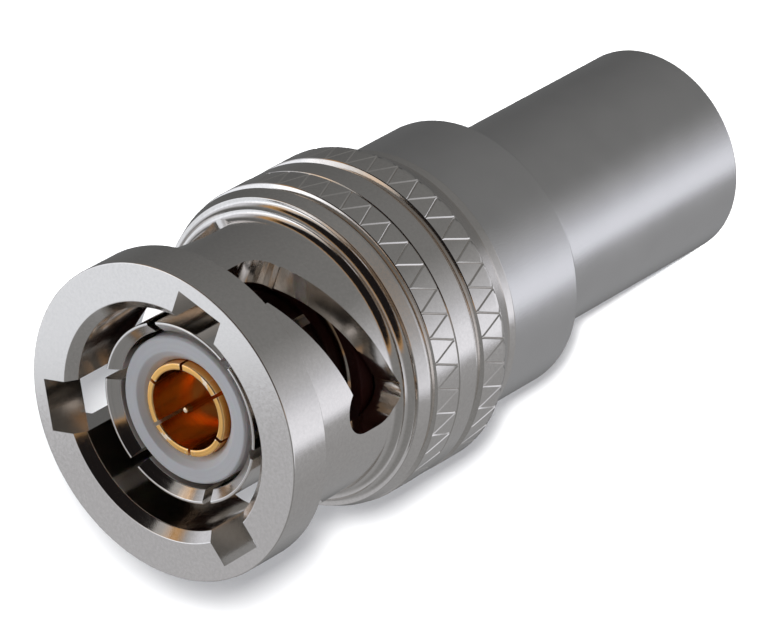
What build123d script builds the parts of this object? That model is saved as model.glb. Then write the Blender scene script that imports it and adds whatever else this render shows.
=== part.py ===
from build123d import *

import os
from math import atan, cos, degrees, pi, radians, sin

# Three-lug bayonet triaxial cable plug, crimp type, in millimetres.
# It stands on the rear end of its crimp sleeve with the mating face up, and its axis is Z.
# A depth is measured down from the mating face. A level is a height above the sleeve's rear end.

# Clearances
slip = 0.03
run_gap = 0.06
face_gap = 0.05
turning_gap = 0.02

# Crimp sleeve
sleeve_length = 13.7
sleeve_r = 4.9
sleeve_wall = 0.45
sleeve_edge = 0.1

# Rear housing
housing_length = 4.7
housing_r = 6.35
housing_boss_length = 1.6
housing_edge = 0.12

# Coupling nut, front to rear
nut_length = 15.85
nut_rear_gap = 0.1
front_flange_r = 7.25
front_flange_length = 2.15
front_flange_edge = 0.08
mouth_r = 5.5
mouth_depth = 0.42
nut_bore_r = 5.08
neck_r = 6.3
cove_1_depth = 8.1
cove_1_r = 0.38
cove_2_r = 0.34
ridge_r = 7.1
ring_r = 7.36
ring_end_depth = 9.05
grip_r = 7.42
groove_r = 7.16
groove_width = 0.42
groove_flank = 0.12
grip_1_depth = 9.4
grip_width = 1.45
band_r = 7.4
grip_2_depth = 12.6
grip_margin = 0.12
knurl_count = 40
knurl_depth = 0.05
knurl_half_width = 0.06
tail_r = 6.72
tail_depth = 15.3
tail_end_r = 6.66
nut_tail_edge = 0.1
chamber_r = 6.1

# Bayonet slots
lug_count = 3
entry_angle = 90
lug_slot_width = 2.4
entry_floor_share = 0.27
ramp_start_depth = 4.1
ramp_end_depth = 6.75
ramp_turn = 67.4
detent_depth = 6.2

# Plug body and the rings round it
gasket_depth = 7.25
gasket_thickness = 0.85
gasket_wall = 0.6
boss_r = 4.96
boss_length = 1.6
body_flange_thickness = 1.0
body_shank_r = 5.2
body_shank_length = 6.25
body_lip_length = 0.95
body_bore_r = 4.55
seat_washer_thickness = 0.3
wave_height = 0.85
wave_stock = 0.22
wave_count = 3
washer_wall = 0.7
thrust_washer_thickness = 0.35
retaining_ring_thickness = 0.65
retaining_ring_r = 6.58
retaining_ring_wall = 0.85
retaining_ring_gap = 30

# Outer contact
contact_recess = 1.1
finger_r = 4.15
finger_wall = 0.55
finger_lip_wall = 0.12
finger_lip_length = 0.4
finger_round = 0.05
finger_slot_width = 0.5
finger_slot_length = 5.4
finger_slot_angle = 10.5
finger_count = 6
contact_base_r = 4.32
contact_base_length = 1.95
contact_collar_thickness = 0.8

# Outer insulator and its retainer
insulator_recess = 1.45
insulator_r = 3.38
insulator_base_r = 3.52
insulator_base_length = 1.7
insulator_flange_thickness = 1.0
insulator_mouth_r = 2.7
insulator_throat_r = 2.38
insulator_throat_depth = 0.4
insulator_mouth_length = 0.8
insulator_edge = 0.15
retainer_thickness = 1.0
retainer_hole_r = 3.15

# Intermediate contact
gold_recess = 1.5
gold_r = 2.15
gold_wall = 0.33
gold_slot_width = 0.16
gold_slot_length = 4.5
gold_slot_angle = 55
gold_slot_count = 6
gold_step_depth = 6.7
gold_step_length = 0.2
gold_step_height = 0.15
gold_shoulder_r = 2.65
gold_shoulder_thickness = 0.8
gold_barrel_r = 1.95
gold_barrel_length = 7.0

# Inner insulators and centre contact
bead_length = 2.7
pin_recess = 1.5
pin_r = 0.2
pin_tip_r = 0.12
pin_tip_length = 0.3
pin_root_r = 0.36
pin_root_depth = 6.2
pot_r = 0.62
pot_length = 3.9
pot_bore_r = 0.4
pot_bore_depth = 3.0
rear_bead_length = 4.05

# Rear insulator and intermediate ferrule
bush_tail_length = 4.0
bush_neck_length = 0.7
bush_bore_r = 2.75
ferrule_bore_r = 2.15
ferrule_wall = 0.35
ferrule_length = 5.0
ferrule_depth = 14.0

# Crimp stem
stem_r = 3.8
stem_flange_thickness = 0.8
stem_length = 14.2
throat_r = 3.2
throat_length = 3.3
cable_bore_r = 3.45
stem_groove_count = 7
stem_groove_depth = 0.1
stem_groove_width = 0.5
stem_groove_pitch = 1.2
stem_groove_start = 2.0

# Levels of the outside, rear to front
housing_rear = sleeve_length + face_gap
housing_front = housing_rear + housing_length
nut_rear = housing_front + nut_rear_gap
mating_face = nut_rear + nut_length

# Levels of the plug body and what is stacked on it, front to rear
gasket_front = mating_face - gasket_depth
boss_front = gasket_front - gasket_thickness
flange_front = boss_front - boss_length
flange_rear = flange_front - body_flange_thickness
seat_washer_rear = flange_rear - seat_washer_thickness
wave_1_rear = seat_washer_rear - wave_height - turning_gap
wave_2_rear = wave_1_rear - wave_height - turning_gap
thrust_washer_front = wave_2_rear - turning_gap
thrust_washer_rear = thrust_washer_front - thrust_washer_thickness
retaining_ring_front = thrust_washer_rear - turning_gap
retaining_ring_rear = retaining_ring_front - retaining_ring_thickness
body_rear = flange_rear - body_shank_length
nut_shoulder = flange_front + face_gap
body_flange_r = chamber_r - run_gap
washer_r = chamber_r - run_gap

# Levels inside the plug body, front to rear
collar_front = boss_front - body_lip_length
collar_rear = collar_front - contact_collar_thickness
insulator_rear = collar_rear - insulator_flange_thickness
retainer_rear = insulator_rear - retainer_thickness
gold_shoulder_rear = insulator_rear - gold_shoulder_thickness
gold_rear = gold_shoulder_rear - gold_barrel_length
bush_front = gold_shoulder_rear
bush_step = body_rear + face_gap
bush_rear = bush_step - bush_tail_length
gold_step_front = mating_face - gold_step_depth
bead_front = gold_step_front - gold_step_length
bead_rear = bead_front - bead_length
pot_rear = bead_rear - pot_length
rear_bead_rear = bead_rear - rear_bead_length
gold_bore_r = gold_r - gold_wall
bead_bore_r = gold_barrel_r - gold_wall + 2 * slip

# Levels of the stem
stem_flange_rear = body_rear - stem_flange_thickness
stem_rear = stem_flange_rear - stem_length
throat_rear = stem_flange_rear - throat_length
housing_shoulder = stem_flange_rear - slip
housing_bore_r = body_shank_r + slip


def half_section(*points):
    """A closed half-section of (radius, level) points, to be turned about the axis."""
    with BuildSketch(Plane.XZ) as section:
        with BuildLine():
            Polyline(*points, close=True)
        make_face()
    return section.sketch


def wave_level(angle, middle, phase):
    """Height of a wave washer's lower face at an angle in degrees."""
    return middle + (wave_height - wave_stock) / 2 * cos(radians(wave_count * (angle - phase)))


def wave_face(rear, phase):
    """One wave of a washer's lower face, from crest to crest."""
    middle = rear + (wave_height - wave_stock) / 2
    wave_span = 360 / wave_count
    steps = 12
    grid = []
    for step in range(steps + 1):
        angle = phase + step * wave_span / steps
        level = wave_level(angle, middle, phase)
        radii = (washer_r - washer_wall, washer_r - washer_wall / 2, washer_r)
        grid.append([(r * cos(radians(angle)), r * sin(radians(angle)), level) for r in radii])
    return Face.make_surface_from_array_of_points([[Vector(*p) for p in row] for row in grid])


# Bayonet ramp cutter: a radial bar carried up a helix, with its foot on +X
ramp_pitch = (ramp_end_depth - ramp_start_depth) * 360 / ramp_turn
ramp_slope = atan(ramp_pitch / (2 * pi * neck_r))
ramp_lean = degrees(lug_slot_width / 2 * sin(ramp_slope) / neck_r)
ramp_rise = ramp_end_depth - ramp_start_depth
cutter_inner_r = nut_bore_r - 0.6
cutter_outer_r = neck_r + 0.5
cutter_mid_r = (cutter_inner_r + cutter_outer_r) / 2
ramp_foot = mating_face - ramp_end_depth + ramp_lean * ramp_pitch / 360
with BuildPart() as ramp_cutter:
    with BuildLine(Plane.XY.offset(ramp_foot)) as ramp_path:
        Helix(ramp_pitch, ramp_rise, cutter_mid_r)
    with BuildSketch(Plane.XZ):
        with Locations((cutter_mid_r, ramp_foot)):
            Rectangle(cutter_outer_r - cutter_inner_r, lug_slot_width / cos(ramp_slope))
    sweep(path=ramp_path.line, is_frenet=True)

# Detent cutter: an end mill plunged on +X and run a little way along the axis
with BuildPart() as detent_cutter:
    with BuildSketch(Plane.YZ.offset(cutter_inner_r)):
        with Locations((0, mating_face - (ramp_end_depth + detent_depth) / 2)):
            SlotCenterToCenter(ramp_end_depth - detent_depth, lug_slot_width, rotation=90)
    extrude(amount=cutter_outer_r - cutter_inner_r)

# Entry cutter: the straight channel that a lug goes in by, with a round end
entry_floor_r = neck_r + entry_floor_share * (front_flange_r - neck_r)
with BuildPart() as entry_cutter:
    with BuildSketch(Plane.YZ):
        with Locations((0, mating_face - ramp_start_depth / 2)):
            Rectangle(lug_slot_width, ramp_start_depth)
        with Locations((0, mating_face - ramp_start_depth)):
            Circle(lug_slot_width / 2)
    extrude(amount=entry_floor_r)


def cove(radius, level, size):
    """A quarter-round hollow that starts along the axis and ends facing the front."""
    mid = (radius + size * (1 - cos(pi / 4)), level - size * sin(pi / 4))
    ThreePointArc((radius, level), mid, (radius + size, level - size))


# Knurl cutter: a wedge as long as one slanting groove of a grip, upright on +X
knurl_rise = 2 * pi * grip_r / knurl_count / 2
knurl_lean = degrees(atan(knurl_rise / grip_width))
knurl_length = (knurl_rise**2 + grip_width**2) ** 0.5
with BuildPart() as knurl_cutter:
    with BuildSketch():
        Polygon(
            (grip_r - knurl_depth, 0),
            (grip_r + knurl_depth, -2 * knurl_half_width),
            (grip_r + knurl_depth, 2 * knurl_half_width),
            align=None,
        )
    extrude(amount=knurl_length / 2, both=True)

# Coupling nut
cove_1_front = mating_face - cove_1_depth + cove_1_r
cove_2_front = mating_face - cove_1_depth
ridge = cove_2_front - cove_2_r
cove_edge_r = neck_r + cove_1_r
grip_1_front = mating_face - grip_1_depth
grip_2_front = mating_face - grip_2_depth
grip_1_rear = grip_1_front - grip_width
grip_2_rear = grip_2_front - grip_width
with BuildPart() as coupling_nut:
    with BuildSketch(Plane.XZ):
        with BuildLine():
            Polyline(
                (neck_r, cove_1_front),
                (neck_r, mating_face - front_flange_length),
                (front_flange_r, mating_face - front_flange_length),
                (front_flange_r, mating_face - front_flange_edge),
                (front_flange_r - front_flange_edge, mating_face),
                (mouth_r, mating_face),
                (nut_bore_r, mating_face - mouth_depth),
                (nut_bore_r, nut_shoulder),
                (chamber_r, nut_shoulder),
                (chamber_r, retaining_ring_front + slip),
                (retaining_ring_r + slip, retaining_ring_front + slip),
                (retaining_ring_r + slip, retaining_ring_rear - slip),
                (chamber_r, retaining_ring_rear - slip),
                (chamber_r, nut_rear + nut_tail_edge),
                (chamber_r + nut_tail_edge, nut_rear),
                (tail_end_r - nut_tail_edge, nut_rear),
                (tail_end_r, nut_rear + nut_tail_edge),
                (tail_r, mating_face - tail_depth),
                (grip_r, grip_2_rear - grip_margin),
                (grip_r, grip_2_front),
                (groove_r, grip_2_front + groove_flank),
                (groove_r, grip_2_front + groove_width - groove_flank),
                (band_r, grip_2_front + groove_width),
                (band_r, grip_1_rear - grip_margin),
                (grip_r, grip_1_rear - grip_margin),
                (grip_r, grip_1_front),
                (groove_r, grip_1_front + groove_flank),
                (groove_r, mating_face - ring_end_depth - groove_flank),
                (ring_r, mating_face - ring_end_depth),
                (ridge_r, ridge),
                (cove_edge_r + cove_2_r, ridge),
            )
            cove(neck_r, cove_1_front, cove_1_r)
            cove(cove_edge_r, cove_2_front, cove_2_r)
        make_face()
    revolve(axis=Axis.Z)
    with PolarLocations(0, lug_count, start_angle=entry_angle):
        add(entry_cutter.part, mode=Mode.SUBTRACT)
    with PolarLocations(0, lug_count, start_angle=entry_angle - ramp_turn + ramp_lean):
        add(ramp_cutter.part, mode=Mode.SUBTRACT)
    with PolarLocations(0, lug_count, start_angle=entry_angle - ramp_turn):
        add(detent_cutter.part, mode=Mode.SUBTRACT)
    for grip_front in (grip_1_front, grip_2_front):
        for side in (-1, 1):
            groove = knurl_cutter.part.rotate(Axis.X, side * knurl_lean)
            groove = groove.moved(Location((0, 0, grip_front - grip_width / 2)))
            with PolarLocations(0, knurl_count, start_angle=side * 90 / knurl_count):
                add(groove, mode=Mode.SUBTRACT)

# Plug body: carries the contacts inside and the nut's springs outside
with BuildPart() as plug_body:
    revolve(
        half_section(
            (contact_base_r + slip, boss_front),
            (boss_r, boss_front),
            (boss_r, flange_front),
            (body_flange_r, flange_front),
            (body_flange_r, flange_rear),
            (body_shank_r, flange_rear),
            (body_shank_r, body_rear),
            (body_bore_r, body_rear),
            (body_bore_r, collar_front),
            (contact_base_r + slip, collar_front),
        ),
        axis=Axis.Z,
    )

# Mating gasket
with BuildPart() as mating_gasket:
    gasket_inner_r = boss_r - gasket_wall
    revolve(
        half_section(
            (gasket_inner_r, boss_front),
            (boss_r, boss_front),
            (boss_r, gasket_front),
            (gasket_inner_r, gasket_front),
        ),
        axis=Axis.Z,
    )

# Outer contact, with spring fingers
finger_tip = mating_face - contact_recess
contact_base_front = collar_front + contact_base_length
with BuildPart() as outer_contact:
    revolve(
        half_section(
            (finger_r - finger_lip_wall, finger_tip),
            (finger_r, finger_tip),
            (finger_r, contact_base_front),
            (contact_base_r, contact_base_front),
            (contact_base_r, collar_front),
            (body_bore_r - slip, collar_front),
            (body_bore_r - slip, collar_rear),
            (finger_r - finger_wall, collar_rear),
            (finger_r - finger_wall, finger_tip - finger_lip_length),
        ),
        axis=Axis.Z,
    )
    fillet(edges().filter_by(GeomType.CIRCLE).group_by(Axis.Z)[-1], finger_round)
    with Locations((0, 0, finger_tip - finger_slot_length / 2)):
        with PolarLocations(finger_r / 2, finger_count, start_angle=finger_slot_angle):
            Box(2 * finger_r, finger_slot_width, finger_slot_length, mode=Mode.SUBTRACT)

# Outer insulator
insulator_front = mating_face - insulator_recess
gold_seat_r = gold_r + slip
with BuildPart() as outer_insulator:
    revolve(
        half_section(
            (insulator_mouth_r, insulator_front),
            (insulator_r - insulator_edge, insulator_front),
            (insulator_r, insulator_front - insulator_edge),
            (insulator_r, collar_rear + insulator_base_length),
            (insulator_base_r, collar_rear + insulator_base_length),
            (insulator_base_r, collar_rear),
            (body_bore_r - slip, collar_rear),
            (body_bore_r - slip, insulator_rear),
            (gold_seat_r, insulator_rear),
            (gold_seat_r, insulator_front - insulator_mouth_length),
            (insulator_throat_r, insulator_front - insulator_throat_depth),
        ),
        axis=Axis.Z,
    )

# Insulator retainer
with BuildPart() as insulator_retainer:
    with BuildSketch(Plane.XY.offset(retainer_rear)):
        Circle(body_bore_r - slip)
        Circle(retainer_hole_r, mode=Mode.SUBTRACT)
    extrude(amount=retainer_thickness)

# Intermediate contact: slotted tube in front, crimp barrel behind
gold_front = mating_face - gold_recess
with BuildPart() as intermediate_contact:
    revolve(
        half_section(
            (gold_bore_r, gold_front),
            (gold_r, gold_front),
            (gold_r, insulator_rear),
            (gold_shoulder_r, insulator_rear),
            (gold_shoulder_r, gold_shoulder_rear),
            (gold_barrel_r, gold_shoulder_rear),
            (gold_barrel_r, gold_rear),
            (bead_bore_r, gold_rear),
            (bead_bore_r, bead_front),
            (bead_bore_r - gold_step_height, bead_front),
            (bead_bore_r - gold_step_height, gold_step_front),
            (gold_bore_r, gold_step_front),
        ),
        axis=Axis.Z,
    )
    chamfer(edges().filter_by(GeomType.CIRCLE).group_by(Axis.Z)[-1], gold_wall / 4)
    with Locations((0, 0, gold_front - gold_slot_length / 2)):
        with PolarLocations(gold_r / 2, gold_slot_count, start_angle=gold_slot_angle):
            Box(2 * gold_r, gold_slot_width, gold_slot_length, mode=Mode.SUBTRACT)

# Inner insulator, the bead that centres the pin
with BuildPart() as inner_insulator:
    with BuildSketch(Plane.XY.offset(bead_rear)):
        Circle(bead_bore_r - slip)
        Circle(pin_root_r + slip, mode=Mode.SUBTRACT)
    extrude(amount=bead_length)

# Centre contact: pin, root and the pot that takes the cable's conductor
pin_tip = mating_face - pin_recess
pin_root_front = mating_face - pin_root_depth
with BuildPart() as centre_contact:
    revolve(
        half_section(
            (0, pin_tip),
            (pin_tip_r, pin_tip),
            (pin_r, pin_tip - pin_tip_length),
            (pin_r, pin_root_front),
            (pin_root_r, pin_root_front - (pin_root_r - pin_r)),
            (pin_root_r, bead_rear),
            (pot_r, bead_rear),
            (pot_r, pot_rear),
            (pot_bore_r, pot_rear),
            (pot_bore_r, pot_rear + pot_bore_depth),
            (0, pot_rear + pot_bore_depth + pot_bore_r),
        ),
        axis=Axis.Z,
    )
    with Locations((0, 0, pot_rear + pot_bore_depth)):
        with Locations(Rotation(0, 90, 0)):
            from_axis = (Align.CENTER, Align.CENTER, Align.MIN)
            Cylinder(pot_bore_r / 2, 2 * pot_r, align=from_axis, mode=Mode.SUBTRACT)

# Inner rear insulator, round the pot
with BuildPart() as inner_rear_insulator:
    with BuildSketch(Plane.XY.offset(rear_bead_rear)):
        Circle(bead_bore_r - slip)
        Circle(pot_r + slip, mode=Mode.SUBTRACT)
    extrude(amount=rear_bead_length)

# Outer rear insulator: a stepped bush from the body into the stem
with BuildPart() as outer_rear_insulator:
    revolve(
        half_section(
            (gold_barrel_r + slip, bush_front),
            (retainer_hole_r - slip, bush_front),
            (retainer_hole_r - slip, retainer_rear),
            (body_bore_r - slip, retainer_rear),
            (body_bore_r - slip, bush_step),
            (throat_r - slip, bush_step),
            (throat_r - slip, bush_rear),
            (bush_bore_r, bush_rear),
            (bush_bore_r, bush_front - bush_neck_length),
            (gold_barrel_r + slip, bush_front - bush_neck_length),
        ),
        axis=Axis.Z,
    )

# Intermediate ferrule, crimped on the barrel over the inner braid
with BuildPart() as intermediate_ferrule:
    with BuildSketch(Plane.XY.offset(mating_face - ferrule_depth - ferrule_length)):
        Circle(ferrule_bore_r + ferrule_wall)
        Circle(ferrule_bore_r, mode=Mode.SUBTRACT)
    extrude(amount=ferrule_length)

# Crimp stem, with grooves that hold the outer braid
with BuildPart() as crimp_stem:
    revolve(
        half_section(
            (throat_r, body_rear),
            (body_shank_r, body_rear),
            (body_shank_r, stem_flange_rear),
            (stem_r, stem_flange_rear),
            (stem_r, stem_rear),
            (cable_bore_r, stem_rear),
            (cable_bore_r, throat_rear),
            (throat_r, throat_rear),
        ),
        axis=Axis.Z,
    )
    groove_levels = [stem_rear + stem_groove_start + i * stem_groove_pitch for i in range(stem_groove_count)]
    with Locations(*[(0, 0, level) for level in groove_levels]):
        Cylinder(stem_r + 1, stem_groove_width, mode=Mode.SUBTRACT)
    with Locations(*[(0, 0, level) for level in groove_levels]):
        Cylinder(stem_r - stem_groove_depth, stem_groove_width)
    with Locations(*[(0, 0, level) for level in groove_levels]):
        Cylinder(cable_bore_r, stem_groove_width, mode=Mode.SUBTRACT)

# Rear housing: screws on the body, clamps the stem and closes the nut's rear
with BuildPart() as rear_housing:
    boss_top = housing_front + housing_boss_length
    revolve(
        half_section(
            (housing_bore_r, boss_top),
            (chamber_r - run_gap, boss_top),
            (chamber_r - run_gap, housing_front),
            (housing_r - housing_edge, housing_front),
            (housing_r, housing_front - housing_edge),
            (housing_r, housing_rear + housing_edge),
            (housing_r - housing_edge, housing_rear),
            (stem_r + slip, housing_rear),
            (stem_r + slip, housing_shoulder),
            (housing_bore_r, housing_shoulder),
        ),
        axis=Axis.Z,
    )

# Crimp sleeve
with BuildPart() as crimp_sleeve:
    sleeve_bore_r = sleeve_r - sleeve_wall
    revolve(
        half_section(
            (sleeve_bore_r + sleeve_edge, 0),
            (sleeve_r - sleeve_edge, 0),
            (sleeve_r, sleeve_edge),
            (sleeve_r, sleeve_length),
            (sleeve_bore_r, sleeve_length),
            (sleeve_bore_r, sleeve_edge),
        ),
        axis=Axis.Z,
    )

# Spring seat washer, against the body's flange
with BuildPart() as spring_seat_washer:
    with BuildSketch(Plane.XY.offset(seat_washer_rear)):
        Circle(washer_r)
        Circle(washer_r - washer_wall, mode=Mode.SUBTRACT)
    extrude(amount=seat_washer_thickness)

# Wave washers, turned half a wave apart so that crest meets crest
with BuildPart() as wave_washer_1:
    with PolarLocations(0, wave_count):
        add(extrude(wave_face(wave_1_rear, 0), wave_stock, dir=(0, 0, 1), mode=Mode.PRIVATE))
with BuildPart() as wave_washer_2:
    with PolarLocations(0, wave_count):
        add(extrude(wave_face(wave_2_rear, 180 / wave_count), wave_stock, dir=(0, 0, 1), mode=Mode.PRIVATE))

# Thrust washer, between the waves and the retaining ring
with BuildPart() as thrust_washer:
    with BuildSketch(Plane.XY.offset(thrust_washer_rear)):
        Circle(washer_r)
        Circle(washer_r - washer_wall, mode=Mode.SUBTRACT)
    extrude(amount=thrust_washer_thickness)

# Retaining ring, a split ring sprung into the nut's groove
with BuildPart() as retaining_ring:
    with BuildSketch(Plane.XZ):
        ring_mid_r = retaining_ring_r - retaining_ring_wall / 2
        with Locations((ring_mid_r, retaining_ring_rear + retaining_ring_thickness / 2)):
            Rectangle(retaining_ring_wall, retaining_ring_thickness)
    revolve(axis=Axis.Z, revolution_arc=360 - retaining_ring_gap)

pieces = {
    "coupling_nut": coupling_nut,
    "plug_body": plug_body,
    "mating_gasket": mating_gasket,
    "outer_contact": outer_contact,
    "outer_insulator": outer_insulator,
    "insulator_retainer": insulator_retainer,
    "intermediate_contact": intermediate_contact,
    "inner_insulator": inner_insulator,
    "centre_contact": centre_contact,
    "inner_rear_insulator": inner_rear_insulator,
    "outer_rear_insulator": outer_rear_insulator,
    "intermediate_ferrule": intermediate_ferrule,
    "crimp_stem": crimp_stem,
    "rear_housing": rear_housing,
    "crimp_sleeve": crimp_sleeve,
    "spring_seat_washer": spring_seat_washer,
    "wave_washer_1": wave_washer_1,
    "wave_washer_2": wave_washer_2,
    "thrust_washer": thrust_washer,
    "retaining_ring": retaining_ring,
}
os.makedirs("parts", exist_ok=True)
for name, piece in pieces.items():
    piece.part.label = name
    export_step(piece.part, f"parts/{name}.step")
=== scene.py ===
import math

import bmesh
import bpy
from bpy.props import FloatProperty, FloatVectorProperty, IntProperty, PointerProperty
from mathutils import Matrix, Vector


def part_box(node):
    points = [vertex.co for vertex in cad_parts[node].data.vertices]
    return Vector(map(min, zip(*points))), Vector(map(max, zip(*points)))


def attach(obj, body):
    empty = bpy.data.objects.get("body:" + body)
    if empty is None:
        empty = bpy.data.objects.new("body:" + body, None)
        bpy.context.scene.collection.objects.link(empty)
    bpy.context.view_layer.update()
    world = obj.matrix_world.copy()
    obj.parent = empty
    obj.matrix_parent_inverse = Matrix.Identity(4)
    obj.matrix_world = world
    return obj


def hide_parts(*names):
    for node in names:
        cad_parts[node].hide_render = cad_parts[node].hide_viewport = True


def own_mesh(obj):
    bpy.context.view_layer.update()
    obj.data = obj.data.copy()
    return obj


bl_info = {
    "name": "Triaxial bayonet plug",
    "version": (1, 0, 0),
    "blender": (4, 5, 0),
    "location": "3D View > Sidebar > Triax plug",
    "description": "Dresses a packed triaxial cable plug with turned metal, PTFE and gold pieces",
    "category": "Object",
}

MM = 0.001
FULL_TURN = 2 * math.pi

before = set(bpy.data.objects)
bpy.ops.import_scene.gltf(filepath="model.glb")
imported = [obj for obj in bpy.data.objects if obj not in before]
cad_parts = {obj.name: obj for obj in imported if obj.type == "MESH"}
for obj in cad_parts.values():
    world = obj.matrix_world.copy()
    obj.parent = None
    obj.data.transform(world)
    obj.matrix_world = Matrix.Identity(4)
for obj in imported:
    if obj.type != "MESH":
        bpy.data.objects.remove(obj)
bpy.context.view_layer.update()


def front_of(node):
    """Level of a CAD node's front end, in millimetres."""
    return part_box(node)[1].z / MM


def rear_of(node):
    """Level of a CAD node's rear end, in millimetres."""
    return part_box(node)[0].z / MM


# Levels at the nut's ends and in its mouth
MATING_FACE = front_of("coupling_nut")
NUT_REAR = rear_of("coupling_nut")
FINGER_FRONT = MATING_FACE - 1.1
INSULATOR_FRONT = MATING_FACE - 1.45
GOLD_FRONT = MATING_FACE - 1.5


def size(name, default_mm, description):
    """A length that a user may change, shown in Blender's length unit."""
    return FloatProperty(
        name=name, description=description, default=default_mm * MM, min=0, unit="LENGTH", precision=5
    )


def power(name, default, description):
    """A lamp's power that a user may change."""
    return FloatProperty(name=name, description=description, default=default, min=0, unit="POWER")


def colour(name, default, description):
    """A colour that a user may change."""
    return FloatVectorProperty(
        name=name, description=description, default=default, min=0, max=1, size=3, subtype="COLOR"
    )


class TriaxNutSizes(bpy.types.PropertyGroup):
    """Sizes of the coupling nut."""

    flange_radius: size("Flange radius", 7.25, "Outside of the front flange")
    flange_length: size("Flange length", 2.15, "Length of the front flange along the axis")
    neck_radius: size("Neck radius", 6.3, "Outside of the slotted neck")
    bore_radius: size("Bore radius", 5.08, "Inside of the slotted neck")
    grip_radius: size("Grip radius", 7.42, "Outside of the knurled bands")
    slot_width: size("Slot width", 2.4, "Width of the bayonet channels and ramps")
    knurl_depth: size("Knurl depth", 0.04, "Depth of the knurl's grooves")
    knurl_width: size("Knurl width", 0.11, "Width of the knurl's grooves")
    knurl_count: IntProperty(
        name="Knurl count", description="Groove pairs round each band", default=40, min=8, max=120
    )


class TriaxContactSizes(bpy.types.PropertyGroup):
    """Sizes of the contacts and insulators in the mouth."""

    finger_radius: size("Finger radius", 4.15, "Outside of the slotted outer contact")
    finger_slot: size("Finger slot", 0.5, "Width of the outer contact's slots")
    insulator_radius: size("Insulator radius", 3.38, "Outside of the outer insulator")
    gold_radius: size("Gold radius", 2.15, "Outside of the intermediate contact")
    gold_wall: size("Gold wall", 0.33, "Wall of the intermediate contact")
    gold_slot: size("Gold slot", 0.16, "Width of the intermediate contact's slots")
    pin_radius: size("Pin radius", 0.2, "Radius of the centre pin")


class TriaxRearSizes(bpy.types.PropertyGroup):
    """Sizes of the rear housing and the crimp sleeve."""

    housing_radius: size("Housing radius", 6.35, "Outside of the rear housing")
    sleeve_radius: size("Sleeve radius", 4.9, "Outside of the crimp sleeve")
    sleeve_wall: size("Sleeve wall", 0.45, "Wall of the crimp sleeve")
    edge_radius: size("Edge radius", 0.12, "Rounding of the rear housing's edges")


class TriaxColours(bpy.types.PropertyGroup):
    """Colours of the finishes."""

    nickel: colour("Nickel", (0.76, 0.72, 0.675), "Bright nickel plating")
    satin: colour("Satin nickel", (0.72, 0.70, 0.68), "Bead-blasted nickel plating")
    steel: colour("Spring steel", (0.45, 0.45, 0.46), "Washers and retaining ring")
    gold: colour("Gold", (0.98, 0.55, 0.17), "Gold plating")
    ptfe: colour("PTFE", (0.93, 0.94, 0.965), "Insulators")
    silicone: colour("Silicone", (0.035, 0.004, 0.003), "Mating gasket")
    floor: colour("Floor", (0.93, 0.93, 0.93), "Floor under the plug")


class TriaxStage(bpy.types.PropertyGroup):
    """Camera and lamps."""

    lens: FloatProperty(
        name="Lens", description="Focal length in millimetres on a 36 mm sensor", default=326.0, min=10
    )
    key_energy: power("Key lamp", 0.0078, "Power of the soft key lamp")
    fill_energy: power("Fill lamp", 0.056, "Power of the fill lamp")
    wash_energy: power("Wash lamp", 1.9, "Power of the lamp that lights the floor")


def settings():
    """The scene's property groups."""
    return bpy.context.scene.triax_plug


class TriaxPlug(bpy.types.PropertyGroup):
    """Everything that a user may change."""

    nut: PointerProperty(type=TriaxNutSizes)
    contacts: PointerProperty(type=TriaxContactSizes)
    rear: PointerProperty(type=TriaxRearSizes)
    colours: PointerProperty(type=TriaxColours)
    stage: PointerProperty(type=TriaxStage)


# Mesh tools, in millimetres from here on


def soften(points, closed=True):
    """Rounds corners given as (radius, level, corner radius); a point beside each keeps flats flat."""
    steps = 4
    beside = 0.02
    most_reach = 0.45
    result = []
    count = len(points)
    for i, (r, z, corner) in enumerate(points):
        here = Vector((r, z))
        at_end = not closed and i in (0, count - 1)
        if corner == 0 or at_end:
            result.append(here)
            continue
        to_last = Vector(points[i - 1][:2]) - here
        to_next = Vector(points[(i + 1) % count][:2]) - here
        reach = corner / math.tan(to_last.angle(to_next) / 2)
        reach = min(reach, most_reach * to_last.length, most_reach * to_next.length)
        room_needed = 3 * reach + 4 * beside
        start = here + reach * to_last.normalized()
        end = here + reach * to_next.normalized()
        if to_last.length > room_needed:
            result.append(start + beside * to_last.normalized())
        for step in range(steps + 1):
            t = step / steps
            result.append(start * (1 - t) ** 2 + here * 2 * t * (1 - t) + end * t**2)
        if to_next.length > room_needed:
            result.append(end + beside * to_next.normalized())
    return result


def cove(radius, level, reach, lead):
    """Points of a quarter-round hollow, which starts at the lead's angle to the axis and ends square."""
    steps = 10
    points = []
    across = reach / math.cos(lead)
    along = reach / (1 - math.sin(lead))
    for step in range(steps + 1):
        turn = lead + (math.pi / 2 - lead) * step / steps
        r = radius + across * (math.cos(lead) - math.cos(turn))
        points.append((r, level - along * (math.sin(turn) - math.sin(lead)), 0))
    return points


def plain_row(r, z, columns, offset=0.0):
    """A ring of evenly spaced points."""
    return [(offset + FULL_TURN * i / columns, r, z) for i in range(columns)]


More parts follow.
